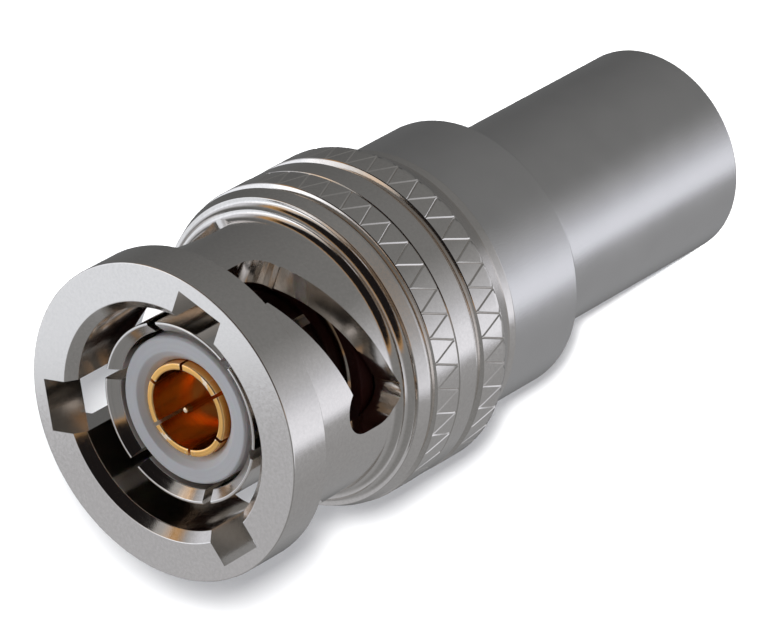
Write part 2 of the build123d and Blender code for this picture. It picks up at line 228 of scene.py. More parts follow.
def mesh_from_rows(name, rows):
    """A closed turned mesh from rings of (angle, radius, level), all of one length."""
    merge_distance = 1e-8
    bm = bmesh.new()
    rings = []
    for row in rows:
        ring = []
        for angle, r, z in row:
            ring.append(bm.verts.new((r * math.cos(angle) * MM, r * math.sin(angle) * MM, z * MM)))
        rings.append(ring)
    for i, ring in enumerate(rings):
        last = rings[i - 1]
        for j in range(len(ring)):
            k = (j + 1) % len(ring)
            bm.faces.new((last[j], last[k], ring[k], ring[j]))
    bmesh.ops.remove_doubles(bm, verts=bm.verts, dist=merge_distance)
    bmesh.ops.dissolve_degenerate(bm, edges=bm.edges, dist=merge_distance)
    bmesh.ops.recalc_face_normals(bm, faces=bm.faces)
    mesh = bpy.data.meshes.new(name)
    bm.to_mesh(mesh)
    bm.free()
    return mesh


def add_object(name, data):
    """Links a new object to the scene."""
    added = bpy.data.objects.new(name, data)
    bpy.context.scene.collection.objects.link(added)
    return added


def shade(piece):
    """Smooth shading with sharp edges where faces meet at an angle."""
    sharp_angle = 32
    piece.data.polygons.foreach_set("use_smooth", [True] * len(piece.data.polygons))
    piece.data.set_sharp_from_angle(angle=math.radians(sharp_angle))


def turned(name, points, columns=256):
    """A turned piece from its half-section of (radius, level, corner radius)."""
    rows = [plain_row(p.x, p.y, columns) for p in soften(points)]
    return add_object(name, mesh_from_rows(name, rows))


def prism(bm, outline, near, far):
    """A prism along +X from a YZ outline, for cutting."""
    layers = []
    for x in (near, far):
        layers.append([bm.verts.new((x * MM, y * MM, z * MM)) for y, z in outline])
    bm.faces.new(layers[0][::-1])
    bm.faces.new(layers[1])
    for i in range(len(outline)):
        bm.faces.new((layers[0][i - 1], layers[0][i], layers[1][i], layers[1][i - 1]))


def round_slot(half_width, low, high):
    """A YZ outline with half-round ends, whose straight sides run from low to high."""
    steps = 16
    outline = []
    for start, level in ((0, high), (math.pi, low)):
        for i in range(steps + 1):
            angle = start + math.pi * i / steps
            outline.append((half_width * math.cos(angle), level + half_width * math.sin(angle)))
    return outline


def repeated(bm, count, start):
    """Turns the cutter's start angle and repeats it round the axis."""
    bmesh.ops.rotate(bm, verts=bm.verts, cent=(0, 0, 0), matrix=Matrix.Rotation(start, 3, "Z"))
    first = bm.verts[:] + bm.edges[:] + bm.faces[:]
    for i in range(1, count):
        copy = bmesh.ops.duplicate(bm, geom=first)
        verts = [e for e in copy["geom"] if isinstance(e, bmesh.types.BMVert)]
        turn = Matrix.Rotation(FULL_TURN * i / count, 3, "Z")
        bmesh.ops.rotate(bm, verts=verts, cent=(0, 0, 0), matrix=turn)


def cut(piece, bm):
    """Cuts the solids in bm out of the piece."""
    bmesh.ops.recalc_face_normals(bm, faces=bm.faces)
    mesh = bpy.data.meshes.new("cutter")
    bm.to_mesh(mesh)
    bm.free()
    cutter = add_object("cutter", mesh)
    modifier = piece.modifiers.new("cut", "BOOLEAN")
    modifier.operation = "DIFFERENCE"
    modifier.solver = "EXACT"
    modifier.object = cutter
    bpy.context.view_layer.update()
    evaluated = piece.evaluated_get(bpy.context.evaluated_depsgraph_get())
    result = bpy.data.meshes.new_from_object(evaluated)
    result.name = piece.data.name
    piece.modifiers.clear()
    piece.data = result
    bpy.data.objects.remove(cutter)


def finish_piece(piece, material, body, slot, *nodes):
    """Gives a piece its material and its place in the frame."""
    shade(piece)
    normals = piece.modifiers.new("normals", "WEIGHTED_NORMAL")
    normals.keep_sharp = True
    piece.data.materials.clear()
    piece.data.materials.append(material)
    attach(piece, body)
    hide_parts(*nodes)


# Shader tools


def new_group(name, inputs, outputs):
    """A shader node group with float sockets."""
    tree = bpy.data.node_groups.new(name, "ShaderNodeTree")
    for label, default in inputs:
        socket = tree.interface.new_socket(name=label, in_out="INPUT", socket_type="NodeSocketFloat")
        socket.default_value = default
    for label in outputs:
        tree.interface.new_socket(name=label, in_out="OUTPUT", socket_type="NodeSocketFloat")
    return tree, tree.nodes.new("NodeGroupInput"), tree.nodes.new("NodeGroupOutput")


def feed(tree, socket, value):
    """Links another socket to an input, or sets a number or a colour on it."""
    if isinstance(value, bpy.types.NodeSocket):
        tree.links.new(value, socket)
    elif isinstance(value, (int, float)):
        socket.default_value = value
    else:
        socket.default_value = (*value, 1)


def math_node(tree, operation, first, second=None):
    """A Math node on two sockets or numbers, which gives its output socket."""
    node = tree.nodes.new("ShaderNodeMath")
    node.operation = operation
    feed(tree, node.inputs[0], first)
    if second is not None:
        feed(tree, node.inputs[1], second)
    return node.outputs[0]


def object_place(tree):
    """The place on the piece, in metres."""
    return tree.nodes.new("ShaderNodeTexCoord").outputs["Object"]


def noise(tree, place, scale, detail=2.0):
    """A noise at a place, with its scale from a socket or a number."""
    node = tree.nodes.new("ShaderNodeTexNoise")
    feed(tree, node.inputs["Vector"], place)
    feed(tree, node.inputs["Scale"], scale)
    node.inputs["Detail"].default_value = detail
    return node.outputs["Fac"]


def turned_marks():
    """Fine rings left by the lathe: Height and Tone from the distance to the axis and the level."""
    name = "Turned marks"
    if name in bpy.data.node_groups:
        return bpy.data.node_groups[name]
    inputs = [("Rings per mm", 12.0), ("Break-up", 0.15)]
    tree, entry, out = new_group(name, inputs, ["Height", "Tone"])
    place = object_place(tree)
    parts = tree.nodes.new("ShaderNodeSeparateXYZ")
    tree.links.new(place, parts.inputs[0])
    x, y, z = parts.outputs
    squares = math_node(tree, "ADD", math_node(tree, "MULTIPLY", x, x), math_node(tree, "MULTIPLY", y, y))
    radius = math_node(tree, "SQRT", squares)
    angle = math_node(tree, "ARCTAN2", y, x)
    per_metre = math_node(tree, "MULTIPLY", entry.outputs["Rings per mm"], 1000.0)
    joined = tree.nodes.new("ShaderNodeCombineXYZ")
    tree.links.new(math_node(tree, "MULTIPLY", radius, per_metre), joined.inputs["X"])
    tree.links.new(math_node(tree, "MULTIPLY", z, per_metre), joined.inputs["Y"])
    tree.links.new(math_node(tree, "MULTIPLY", angle, entry.outputs["Break-up"]), joined.inputs["Z"])
    rings = noise(tree, joined.outputs[0], 1.0, detail=3.0)
    broad = noise(tree, place, 600.0)
    tree.links.new(rings, out.inputs["Height"])
    tree.links.new(math_node(tree, "MULTIPLY", rings, broad), out.inputs["Tone"])
    return tree


def blasted_grain():
    """Fine pits of a bead-blasted or moulded surface: Height and Tone."""
    name = "Blasted grain"
    if name in bpy.data.node_groups:
        return bpy.data.node_groups[name]
    inputs = [("Grains per mm", 14.0), ("Patches per mm", 0.6)]
    tree, entry, out = new_group(name, inputs, ["Height", "Tone"])
    place = object_place(tree)
    fine_scale = math_node(tree, "MULTIPLY", entry.outputs["Grains per mm"], 1000.0)
    broad_scale = math_node(tree, "MULTIPLY", entry.outputs["Patches per mm"], 1000.0)
    tree.links.new(noise(tree, place, fine_scale, detail=3.0), out.inputs["Height"])
    tree.links.new(noise(tree, place, broad_scale, detail=4.0), out.inputs["Tone"])
    return tree


def worn_and_highlit_edges():
    """Lighter edges, part rubbed wear and part painted highlight: a Mask from how convex the surface is."""
    name = "Worn edges"
    if name in bpy.data.node_groups:
        return bpy.data.node_groups[name]
    tree, entry, out = new_group(name, [("Strength", 0.5)], ["Mask"])
    pointiness = tree.nodes.new("ShaderNodeNewGeometry").outputs["Pointiness"]
    convex = map_range(tree, pointiness, 0, 1, 0.52, 0.60)
    rubbed_and_highlit = math_node(tree, "MULTIPLY", convex, noise(tree, object_place(tree), 1500.0))
    tree.links.new(math_node(tree, "MULTIPLY", rubbed_and_highlit, entry.outputs["Strength"]), out.inputs["Mask"])
    return tree


def place_group(tree, group, **values):
    """Puts a node group into a material with its own values."""
    node = tree.nodes.new("ShaderNodeGroup")
    node.node_tree = group
    for label, value in values.items():
        node.inputs[label.replace("_", " ")].default_value = value
    return node


def mix_colours(tree, factor, first, second, blend="MIX"):
    """A colour from two, by a factor."""
    node = tree.nodes.new("ShaderNodeMix")
    node.data_type = "RGBA"
    node.blend_type = blend
    colour_inputs = [socket for socket in node.inputs if socket.type == "RGBA"]
    feed(tree, node.inputs[0], factor)
    feed(tree, colour_inputs[0], first)
    feed(tree, colour_inputs[1], second)
    return [socket for socket in node.outputs if socket.type == "RGBA"][0]


def map_range(tree, value, low, high, from_low, from_high):
    """Spreads a range of values over another one, with nothing past its ends."""
    node = tree.nodes.new("ShaderNodeMapRange")
    node.inputs["From Min"].default_value = from_low
    node.inputs["From Max"].default_value = from_high
    node.inputs["To Min"].default_value = low
    node.inputs["To Max"].default_value = high
    tree.links.new(value, node.inputs["Value"])
    return node.outputs[0]


def darker(value, share):
    """A colour scaled by a share."""
    return tuple(channel * share for channel in value)


def surface(name, base, group, shading, bump, metallic=1.0, wear_and_highlight=None, dark_share=0.88, **sockets):
    """A finish whose colour, roughness and bump all vary with a grain.

    The group is (maker, its values, range of its tone); shading is the roughness from and to; the bump is its
    strength and its depth in millimetres; the edge tuple (strength, colour) lightens convex edges, part as
    wear and part as a painted highlight.
    """
    label = name + "_finish"
    if label in bpy.data.materials:
        return bpy.data.materials[label]
    make_grain, grain_values, tone_range = group
    strength, depth = bump
    material = bpy.data.materials.new(label)
    material.use_nodes = True
    tree = material.node_tree
    bsdf = tree.nodes["Principled BSDF"]
    bsdf.inputs["Metallic"].default_value = metallic
    grain = place_group(tree, make_grain(), **grain_values)
    tone = map_range(tree, grain.outputs["Tone"], 0, 1, *tone_range)
    body_colour = mix_colours(tree, tone, darker(base, dark_share), base)
    # Lighter convex edges: part rubbed wear, part painted highlight
    if wear_and_highlight is not None:
        edges = place_group(tree, worn_and_highlit_edges(), Strength=wear_and_highlight[0])
        body_colour = mix_colours(tree, edges.outputs["Mask"], body_colour, wear_and_highlight[1])
    tree.links.new(body_colour, bsdf.inputs["Base Color"])
    rough = map_range(tree, grain.outputs["Tone"], *shading, *tone_range)
    tree.links.new(rough, bsdf.inputs["Roughness"])
    relief = tree.nodes.new("ShaderNodeBump")
    relief.inputs["Strength"].default_value = strength
    relief.inputs["Distance"].default_value = depth * MM
    tree.links.new(grain.outputs["Height"], relief.inputs["Height"])
    tree.links.new(relief.outputs["Normal"], bsdf.inputs["Normal"])
    for label, value in sockets.items():
        bsdf.inputs[label.replace("_", " ")].default_value = value
    return material


def bright_nickel():
    """Bright nickel with the fine grain of its plating."""
    base = settings().colours.nickel
    grain = (blasted_grain, {"Grains_per_mm": 18.0, "Patches_per_mm": 7.0}, (0.3, 0.7))
    return surface("bright_nickel", base, grain, (0.10, 0.15), (0.10, 0.01), dark_share=0.92)


def plain_nickel():
    """Nickel on the contacts and hidden turned pieces."""
    base = darker(settings().colours.nickel, 0.95)
    marks = (turned_marks, {"Rings_per_mm": 9.0, "Break-up": 0.5}, (0.15, 0.4))
    # Lighter edges: part wear, part painted highlight
    rubbed_and_highlit = (0.8, (1.0, 0.95, 0.88))
    return surface("plain_nickel", base, marks, (0.10, 0.16), (0.05, 0.01), wear_and_highlight=rubbed_and_highlit)


def satin_nickel():
    """Bead-blasted nickel."""
    base = settings().colours.satin
    grain = (blasted_grain, {"Grains_per_mm": 16.0, "Patches_per_mm": 0.5}, (0.35, 0.65))
    # Lighter edges: part wear, part painted highlight
    rubbed_and_highlit = (0.4, (0.9, 0.9, 0.9))
    return surface("satin_nickel", base, grain, (0.215, 0.25), (0.25, 0.02), wear_and_highlight=rubbed_and_highlit, dark_share=0.96)


def spring_steel():
    """Rolled spring steel."""
    base = settings().colours.steel
    grain = (blasted_grain, {"Grains_per_mm": 8.0, "Patches_per_mm": 1.0}, (0.35, 0.65))
    return surface("spring_steel", base, grain, (0.25, 0.35), (0.2, 0.01))


def gold_plate():
    """Gold over turned brass."""
    base = settings().colours.gold
    marks = (turned_marks, {"Rings_per_mm": 10.0, "Break-up": 0.4}, (0.15, 0.4))
    # Lighter edges: part wear, part painted highlight
    rubbed_and_highlit = (2.2, (1.0, 0.82, 0.62))
    return surface("gold_plate", base, marks, (0.14, 0.24), (0.08, 0.01), wear_and_highlight=rubbed_and_highlit)


def white_ptfe():
    """Machined PTFE: waxy, with faint tool rings."""
    base = settings().colours.ptfe
    marks = (turned_marks, {"Rings_per_mm": 8.0, "Break-up": 0.2}, (0.15, 0.4))
    return surface(
        "white_ptfe", base, marks, (0.38, 0.5), (0.12, 0.02), metallic=0.0, dark_share=0.95,
        Subsurface_Weight=0.15, Subsurface_Scale=0.0005,
    )


def red_silicone():
    """Dark red moulded silicone."""
    base = settings().colours.silicone
    grain = (blasted_grain, {"Grains_per_mm": 10.0, "Patches_per_mm": 1.0}, (0.35, 0.65))
    return surface(
        "red_silicone", base, grain, (0.5, 0.65), (0.2, 0.02), metallic=0.0, dark_share=0.8,
        Specular_IOR_Level=0.15,
    )


# Pieces


def groove_span(low, high, r, half, depth):
    """Columns from one knurl groove's centre to just before the next one's."""
    middles = 3
    edge = min(half, 0.49 * (high - low))
    top = r - depth * (1 - edge / half)
    plain = high - low - 2 * edge
    span = [(low, r - depth), (low + edge, top)]
    for i in range(1, middles + 1):
        span.append((low + edge + plain * i / (middles + 1), top))
    span.append((high - edge, top))
    return span


def knurl_row(r, z, share, nut):
    """One ring of a knurled band; share runs from 0 at the band's front to 1 at its rear."""
    pitch = FULL_TURN / nut.knurl_count
    half = nut.knurl_width / 2 / (r * MM)
    nearest = 0.03
    lean = pitch / 2 * min(max(share, nearest), 1 - nearest)
    row = []
    for i in range(nut.knurl_count):
        left = i * pitch - lean
        right = i * pitch + lean
        following = (i + 1) * pitch - lean
        row += groove_span(left, right, r, half, nut.knurl_depth / MM)
        row += groove_span(right, following, r, half, nut.knurl_depth / MM)
    return [(angle, radius, z) for angle, radius in row]


class TRIAX_OT_coupling_nut(bpy.types.Operator):
    """Make the coupling nut: slotted neck, knurled grips and plain bands"""

    bl_idname = "triax.coupling_nut"
    bl_label = "Coupling nut"

    columns_per_knurl = 12
    knurl_rows = 9

    # Levels along the nut, in millimetres below the mating face
    ring_depth = 8.1
    grip_depths = ((9.41, 10.86), (12.61, 14.06))
    chamber_depth = 9.65
    groove_depth = 13.1
    groove_width = 0.71

    # Bayonet slots: depths in millimetres below the mating face, turns in degrees
    slot_count = 3
    first_channel = 90.0
    ramp_turn = 67.4
    ramp_stop = 3.0
    channel_depth = 4.1
    seat_depth = 6.85
    detent_depth = 6.03
    ramp_clearance = 0.04

    def outline(self, nut):
        """The nut's half-section in open runs; a knurled band lies between each two."""
        top = MATING_FACE
        flange = nut.flange_radius / MM
        flange_rear = top - nut.flange_length / MM
        neck = nut.neck_radius / MM
        bore = nut.bore_radius / MM
        grip = nut.grip_radius / MM
        ring = top - self.ring_depth
        (front_grip, front_grip_rear), (rear_grip, rear_grip_rear) = self.grip_depths
        chamber = 6.1
        groove = 6.61
        groove_front = top - self.groove_depth
        groove_rear = groove_front - self.groove_width
        first_cove = 0.38
        second_cove = 0.34

        # Mouth, flange, neck, coves and the ring before the first grip
        front_run = [
            (bore, top - 5.0, 0),
            (bore, top - 0.42, 0.05),
            (5.5, top, 0.05),
            (flange, top, 0.07),
            (flange, flange_rear, 0.05),
            (neck, flange_rear, 0.06),
            *cove(neck, ring + first_cove, first_cove, lead=math.radians(22)),
            *cove(neck + first_cove, ring, second_cove, lead=math.radians(34)),
            (7.11, ring - second_cove, 0.05),
            (7.35, top - 9.03, 0.05),
            (7.19, top - 9.10, 0.03),
            (7.22, top - 9.19, 0.02),
            (7.14, top - 9.28, 0.03),
            (grip - 0.03, top - front_grip + 0.03, 0.02),
            (grip, top - front_grip, 0),
        ]

        # Smooth band between the grips
        middle_run = [
            (grip, top - front_grip_rear, 0),
            (7.34, top - 10.88, 0.02),
            (7.34, top - 10.96, 0.02),
            (7.40, top - 11.0, 0.02),
            (7.40, top - 12.1, 0.03),
            (7.22, top - 12.22, 0.03),
            (7.25, top - 12.32, 0.02),
            (7.16, top - 12.46, 0.03),
            (grip - 0.03, top - rear_grip + 0.03, 0.02),
            (grip, top - rear_grip, 0),
        ]

        # Tail cone, ring groove, spring chamber and bore
        rear_run = [
            (grip, top - rear_grip_rear, 0),
            (7.38, top - 14.14, 0.04),
            (6.72, top - 15.3, 0.06),
            (6.66, top - 15.36, 0.03),
            (6.66, NUT_REAR, 0.08),
            (chamber + 0.02, NUT_REAR, 0.06),
            (chamber, groove_rear, 0),
            (groove, groove_rear, 0),
            (groove, groove_front, 0),
            (chamber, groove_front, 0),
            (chamber, top - self.chamber_depth, 0),
            (bore, top - self.chamber_depth, 0),
            (bore, top - 8.4, 0),
        ]
        return front_run, middle_run, rear_run

    def rows(self, nut):
        """All the rings of the nut's mesh, front to rear outside and back inside."""
        columns = self.columns_per_knurl * nut.knurl_count
        offset = -FULL_TURN / nut.knurl_count / 4
        front_run, middle_run, rear_run = self.outline(nut)
        rows = []
        for i, run in enumerate((front_run, middle_run, rear_run)):
            points = soften(run, closed=False)
            if i > 0:
                start = rows[-1][0][2]
                end = points[0].y
                for step in range(self.knurl_rows + 1):
                    share = step / self.knurl_rows
                    z = start + (end - start) * share
                    rows.append(knurl_row(points[0].x, z, share, nut))
                points = points[1:]
            rows += [plain_row(p.x, p.y, columns, offset) for p in points]
        return rows

    def cut_channels(self, piece, half):
        """Straight channels from the mating face."""
        above = MATING_FACE + 1.0
        inner = 1.0
        outer = 6.55
        outline = round_slot(half, MATING_FACE - self.channel_depth, above)
        outline = [(y, min(z, above)) for y, z in outline]
        bm = bmesh.new()
        prism(bm, outline, inner, outer)
        repeated(bm, self.slot_count, math.radians(self.first_channel))
        cut(piece, bm)

    def cut_ramps(self, piece, half, neck, inner, outer):
        """Ramps, from the channels down to the seats."""
        steps = 48
        whole_turn = math.radians(self.ramp_turn)
        cut_turn = whole_turn - math.radians(self.ramp_stop)
        drop = self.seat_depth - self.channel_depth
        slope = drop / (whole_turn * neck)
        height = half / math.cos(math.atan(slope)) + self.ramp_clearance
        corners = ((inner, -height), (outer, -height), (outer, height), (inner, height))
        bm = bmesh.new()
        sections = []
        for i in range(steps + 1):
            turn = cut_turn * i / steps
            middle = MATING_FACE - self.channel_depth - drop * turn / whole_turn
            section = []
            for r, z in corners:
                place = (r * math.cos(turn) * MM, -r * math.sin(turn) * MM, (middle + z) * MM)
                section.append(bm.verts.new(place))
            sections.append(section)
        bm.faces.new(sections[0])
        bm.faces.new(sections[-1][::-1])
        for last, here in zip(sections, sections[1:]):
            for j in range(4):
                bm.faces.new((last[j - 1], last[j], here[j], here[j - 1]))
        repeated(bm, self.slot_count, math.radians(self.first_channel))
        cut(piece, bm)

    def cut_seats(self, piece, half, inner, outer):
        """Seats at the ramps' ends."""
        outline = round_slot(half, MATING_FACE - self.seat_depth, MATING_FACE - self.detent_depth)
        bm = bmesh.new()
        prism(bm, outline, inner, outer)
        repeated(bm, self.slot_count, math.radians(self.first_channel - self.ramp_turn))
        cut(piece, bm)

    def execute(self, context):
        nut = settings().nut
        piece = add_object("nut_shell", mesh_from_rows("nut_shell", self.rows(nut)))
        half = nut.slot_width / MM / 2
        neck = nut.neck_radius / MM
        inner = nut.bore_radius / MM - 0.6
        outer = neck + 0.5
        self.cut_channels(piece, half)
        self.cut_ramps(piece, half, neck, inner, outer)
        self.cut_seats(piece, half, inner, outer)
        finish_piece(piece, bright_nickel(), "nut", "coupling_nickel", "coupling_nut")
        return {"FINISHED"}


class TRIAX_OT_contacts(bpy.types.Operator):
    """Make the outer contact, the intermediate contact and the centre contact"""

    bl_idname = "triax.contacts"
    bl_label = "Contacts"

    slot_count = 6

    def slots(self, piece, radius, width, low, high, first):
        """Cuts straight slots through a tube's wall, the first at an angle in degrees."""
        outline = [(-width / 2, low), (width / 2, low), (width / 2, high), (-width / 2, high)]
        bm = bmesh.new()
        prism(bm, outline, radius * 0.3, radius * 1.4)
        repeated(bm, self.slot_count, math.radians(first))
        cut(piece, bm)

    def outer_contact(self, sizes):
        """The slotted outer contact with its rounded lips."""
        fingers = sizes.finger_radius / MM
        bore = fingers - 0.55
        neck = 4.32
        flange = 4.52
        tip = FINGER_FRONT
        base = rear_of("outer_contact")
        step = base + 2.4
        flange_front = base + 0.8
        slot_length = 5.4
        piece = turned("outer_contact_shell", [
            (fingers - 0.12, tip, 0.05),
            (fingers, tip, 0.05),
            (fingers, step, 0),
            (neck, step, 0.02),
            (neck, flange_front, 0.02),
            (flange, flange_front, 0.03),
            (flange, base, 0.03),
            (bore, base, 0.03),
            (bore, tip - 0.4, 0.08),
        ])
        self.slots(piece, fingers, sizes.finger_slot / MM, tip - slot_length, tip + 1, 10.5)
        finish_piece(piece, plain_nickel(), "plug", "contact_nickel", "outer_contact")

    def intermediate_contact(self, sizes):
        """The slotted gold tube, its shoulder and its crimp barrel."""
        tube = sizes.gold_radius / MM
        inner = tube - sizes.gold_wall / MM
        collar = 2.65
        barrel = 1.95
        bore = 1.68
        throat = bore - 0.15
        front = GOLD_FRONT
        rear = rear_of("intermediate_contact")
        shoulder = rear + 7.0
        shoulder_front = shoulder + 0.8
        step = MATING_FACE - 6.9
        slot_length = 4.5
        piece = turned("gold_tube", [
            (inner, front, 0.08),
            (tube, front, 0.08),
            (tube, shoulder_front, 0.02),
            (collar, shoulder_front, 0.03),
            (collar, shoulder, 0.03),
            (barrel, shoulder, 0.03),
            (barrel, rear, 0.05),
            (bore, rear, 0.05),
            (bore, step, 0.02),
            (throat, step, 0.02),
            (throat, step + 0.2, 0.02),
            (inner, step + 0.2, 0.02),
        ], columns=192)
        self.slots(piece, tube, sizes.gold_slot / MM, front - slot_length, front + 1, 55)
        finish_piece(piece, gold_plate(), "plug", "gold_plate", "intermediate_contact")

    def centre_contact(self, sizes):
        """The centre pin with its pot for the conductor."""
        pin = sizes.pin_radius / MM
        stem = 0.36
        pot = 0.62
        pot_bore = 0.4
        tip = GOLD_FRONT
        root = MATING_FACE - 6.2
        rear = rear_of("centre_contact")
        pot_front = rear + 3.9
        piece = turned("centre_pin", [
            (0, tip, 0),
            (0.6 * pin, tip, 0.05),
            (pin, tip - 0.3, 0.1),
            (pin, root, 0.02),
            (stem, root - 0.16, 0.02),
            (stem, pot_front, 0.02),
            (pot, pot_front, 0.03),
            (pot, rear, 0.04),
            (pot_bore, rear, 0.04),
            (pot_bore, rear + 3.0, 0),
            (0, rear + 3.4, 0),
        ], columns=64)
        finish_piece(piece, gold_plate(), "plug", "gold_plate", "centre_contact")

    def execute(self, context):
        sizes = settings().contacts
        self.outer_contact(sizes)
        self.intermediate_contact(sizes)
        self.centre_contact(sizes)
        return {"FINISHED"}


class TRIAX_OT_insulators(bpy.types.Operator):
    """Make the outer insulator and the gasket, and dress the hidden insulators"""

    bl_idname = "triax.insulators"
    bl_label = "Insulators and gasket"

    def outer_insulator(self, sizes):
        """The white ring round the gold tube, with its funnel and its flange."""
        ring = sizes.insulator_radius / MM
        seat = sizes.gold_radius / MM + 0.03
        neck = 3.52
        flange = 4.52
        front = INSULATOR_FRONT
        rear = rear_of("outer_insulator")
        step = rear + 2.7
        flange_front = rear + 1.0
        piece = turned("outer_insulator_shell", [
            (seat + 0.52, front, 0.15),
            (ring - 0.08, front, 0.1),
            (ring, front - 0.12, 0.1),
            (ring, step, 0.02),
            (neck, step, 0.03),
            (neck, flange_front, 0.02),
            (flange, flange_front, 0.03),
            (flange, rear, 0.03),
            (seat, rear, 0.03),
            (seat, front - 0.5, 0.03),
            (seat + 0.24, front - 0.22, 0.25),
        ])
        finish_piece(piece, white_ptfe(), "plug", "white_ptfe", "outer_insulator")

    def mating_gasket(self):
        """The gasket, round at its corners."""
        inner = 4.36
        outer = 4.96
        rear = rear_of("mating_gasket")
        front = front_of("mating_gasket")
        piece = turned("gasket_ring", [
            (inner, rear, 0.08),
            (outer, rear, 0.08),
            (outer, front, 0.1),
            (inner, front, 0.1),
        ])
        finish_piece(piece, red_silicone(), "plug", "red_silicone", "mating_gasket")

    def execute(self, context):
        self.outer_insulator(settings().contacts)
        self.mating_gasket()
        dress(white_ptfe(), "inner_insulator", "inner_rear_insulator", "outer_rear_insulator")
        return {"FINISHED"}


class TRIAX_OT_rear(bpy.types.Operator):
    """Make the rear housing and the crimp sleeve"""

    bl_idname = "triax.rear"
    bl_label = "Rear housing and sleeve"

    columns = 320

    def rear_housing(self, sizes):
        """The barrel behind the nut, with its boss and its bores."""
        edge = sizes.edge_radius / MM
        barrel = sizes.housing_radius / MM
        boss = 6.04
        bore = 5.23
        stem_bore = 3.83
        barrel_front = NUT_REAR - 0.1
        boss_front = front_of("rear_housing")
        rear = rear_of("rear_housing")
        stem_flange = rear_of("plug_body") - 0.83
        piece = turned("housing_shell", [
            (bore, boss_front, 0.03),
            (boss, boss_front, 0.03),
            (boss, barrel_front, 0.03),
            (barrel, barrel_front, edge),
            (barrel, rear, edge),
            (stem_bore, rear, 0.05),
            (stem_bore, stem_flange, 0.02),
            (bore, stem_flange, 0.02),
        ], columns=self.columns)
        finish_piece(piece, satin_nickel(), "plug", "satin_nickel", "rear_housing")

    def crimp_sleeve(self, sizes):
        """The plain tube that the plug stands on."""
        outer = sizes.sleeve_radius / MM
        inner = outer - sizes.sleeve_wall / MM
        front = front_of("crimp_sleeve")
        piece = turned("sleeve_shell", [
            (inner, 0, 0.1),
            (outer, 0, 0.1),
            (outer, front, 0.05),
            (inner, front, 0.05),
        ], columns=self.columns)
        finish_piece(piece, satin_nickel(), "sleeve", "satin_nickel", "crimp_sleeve")

    def execute(self, context):
        sizes = settings().rear
        self.rear_housing(sizes)
        self.crimp_sleeve(sizes)
        return {"FINISHED"}


def dress(material, *nodes):
    """Gives CAD nodes that keep their own shape a material."""
    for node in nodes:
        for material_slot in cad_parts[node].material_slots:
            material_slot.material = material


class TRIAX_OT_inner_metal(bpy.types.Operator):
    """Dress the body, stem, ferrule, washers and rings inside the plug"""

    bl_idname = "triax.inner_metal"
    bl_label = "Inner metal"

    def execute(self, context):
        dress(plain_nickel(), "plug_body", "insulator_retainer", "crimp_stem")
        dress(gold_plate(), "intermediate_ferrule")
        waves = ("wave_washer_1", "wave_washer_2")
        dress(spring_steel(), *waves, "spring_seat_washer", "thrust_washer", "retaining_ring")

        # The nut's pull squeezes the waves against the seat washer; here each wave only gets a mesh of its
        # own
        for wave in waves:
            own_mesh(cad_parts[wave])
        return {"FINISHED"}


